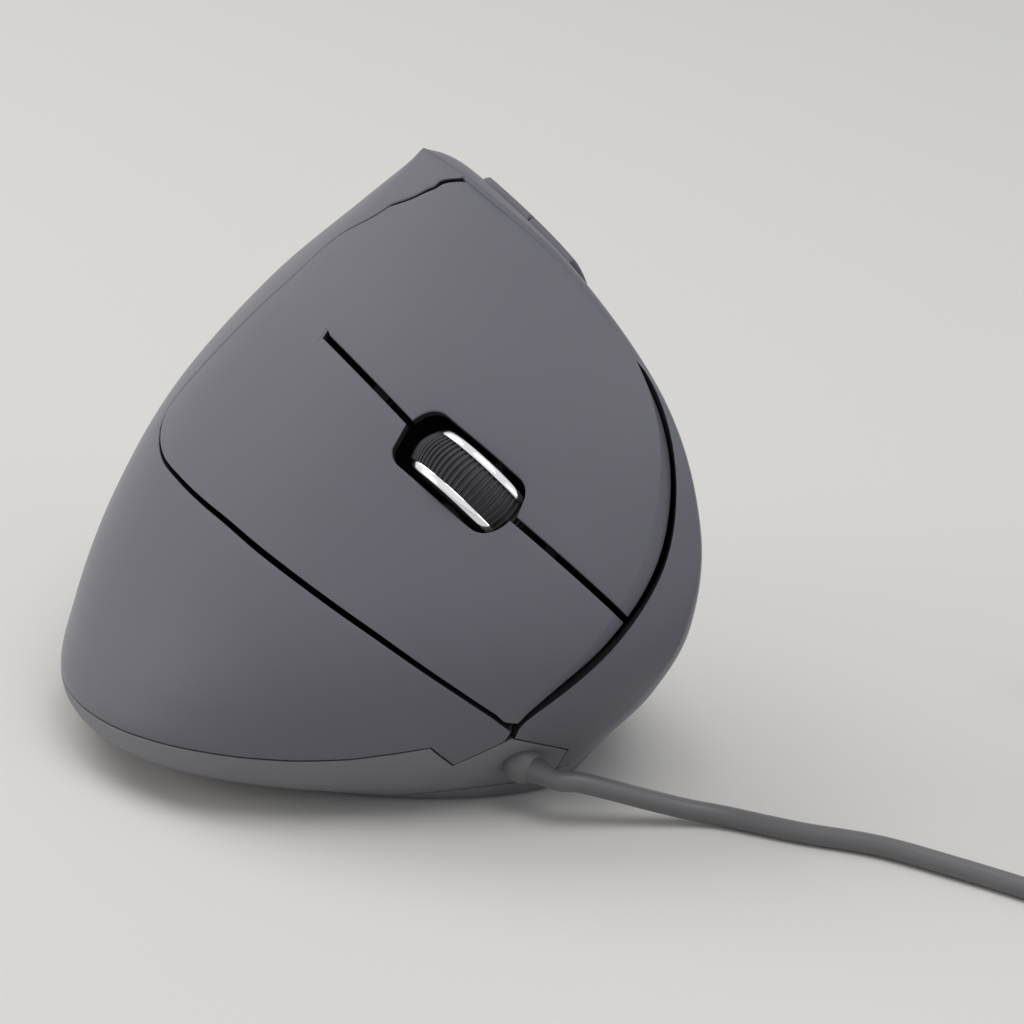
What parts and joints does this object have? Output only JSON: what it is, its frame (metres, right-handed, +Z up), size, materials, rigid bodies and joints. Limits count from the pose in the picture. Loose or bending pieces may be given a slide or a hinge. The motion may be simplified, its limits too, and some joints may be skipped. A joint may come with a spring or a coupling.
{
  "type": "vertical ergonomic mouse",
  "caption": "Tall wedge-shaped handshake-grip computer mouse with sloped finger buttons, ribbed scroll wheel, thumb buttons and a corded plug.",
  "frame": {"origin": "centre of the mouse in plan, on the plane of the glide feet; the cord is not counted", "axes": "+X to the finger side, +Y to the nose where the cord leaves, +Z up"},
  "size_m": [0.1352, 0.2114, 0.0799],
  "materials": {
    "soft_touch": "soft-touch lacquer over ABS",
    "base_plastic": "fine-textured ABS",
    "thumb_key": "polished ABS",
    "wheel_rubber": "ribbed silicone rubber",
    "ring_chrome": "plated plastic trim",
    "black_abs": "moulded ABS",
    "switch_plastic": "moulded switch body",
    "board": "solder mask over glass laminate",
    "chip_epoxy": "moulded epoxy",
    "lens_clear": "clear moulded lens",
    "led_red": "tinted epoxy",
    "header_nylon": "nylon",
    "ribbon_pvc": "flat ribbon cable",
    "cord_pvc": "PVC jacket",
    "screw_steel": "zinc-plated steel",
    "foot_ptfe": "low-friction glide pad",
    "tie_fabric": "hook-and-loop tie",
    "plug_steel": "nickel-plated steel",
    "tongue_nylon": "nylon"
  },
  "bodies": {
    "chassis": {"palm_shell": "soft_touch", "thumb_shell": "soft_touch", "finger_panel": "soft_touch", "base_cover": "base_plastic", "button_carrier": "black_abs", "left_switch": "switch_plastic", "right_switch": "switch_plastic", "middle_switch": "switch_plastic", "side_switches": "switch_plastic", "button_pcb": "board", "side_pcb": "board", "main_pcb": "board", "sensor_chip": "chip_epoxy", "controller_chip": "chip_epoxy", "capacitor": "chip_epoxy", "sensor_lens": "lens_clear", "sensor_led": "led_red", "main_headers": "header_nylon", "cord_header": "header_nylon", "upper_ribbon": "ribbon_pvc", "side_ribbon": "ribbon_pvc", "cable": "cord_pvc", "cable_coil": "cord_pvc", "inner_lead": "cord_pvc", "strain_relief": "cord_pvc", "usb_plug_body": "cord_pvc", "base_screws": "screw_steel", "board_screws": "screw_steel", "glide_feet": "foot_ptfe", "cord_tie": "tie_fabric", "usb_plug_shell": "plug_steel", "usb_plug_tongue": "tongue_nylon"},
    "left_key": {"left_button": "soft_touch"},
    "right_key": {"right_button": "soft_touch"},
    "forward_key": {"forward_button": "thumb_key"},
    "back_key": {"back_button": "thumb_key"},
    "cradle": {"wheel_cradle": "black_abs", "wheel_encoder": "black_abs"},
    "wheel": {"wheel_hub": "black_abs", "wheel_tyre": "wheel_rubber", "wheel_rings": "ring_chrome"}
  },
  "joints": [
    {"name": "left_press", "type": "hinge", "parent": "chassis", "child": "left_key", "pos_m": [-0.00985, -0.00476, 0.0663], "axis": [-0.7735, 0.1504, 0.6157], "range_deg": [0, 0.7], "stiffness_Nm_per_rad": 2},
    {"name": "right_press", "type": "hinge", "parent": "chassis", "child": "right_key", "pos_m": [0.01103, -0.00882, 0.04968], "axis": [-0.7735, 0.1504, 0.6157], "range_deg": [0, 0.7], "stiffness_Nm_per_rad": 2},
    {"name": "forward_press", "type": "hinge", "parent": "chassis", "child": "forward_key", "pos_m": [-0.02868, 0.00995, 0.07136], "axis": [-0.1073, -0.9431, 0.3148], "range_deg": [0, 5], "stiffness_Nm_per_rad": 0.05},
    {"name": "back_press", "type": "hinge", "parent": "chassis", "child": "back_key", "pos_m": [-0.02992, -0.00183, 0.07487], "axis": [-0.0942, -0.9625, 0.2543], "range_deg": [0, 5], "stiffness_Nm_per_rad": 0.05},
    {"name": "wheel_click", "type": "hinge", "parent": "chassis", "child": "cradle", "pos_m": [-0.00262, 0.00234, 0.04929], "axis": [-0.7735, 0.1504, 0.6157], "range_deg": [0, 0.75], "stiffness_Nm_per_rad": 2},
    {"name": "wheel_spin", "type": "hinge", "parent": "cradle", "child": "wheel", "pos_m": [-0.00329, 0.02369, 0.04323], "axis": [0.7735, -0.1504, -0.6157], "continuous": true}
  ]
}
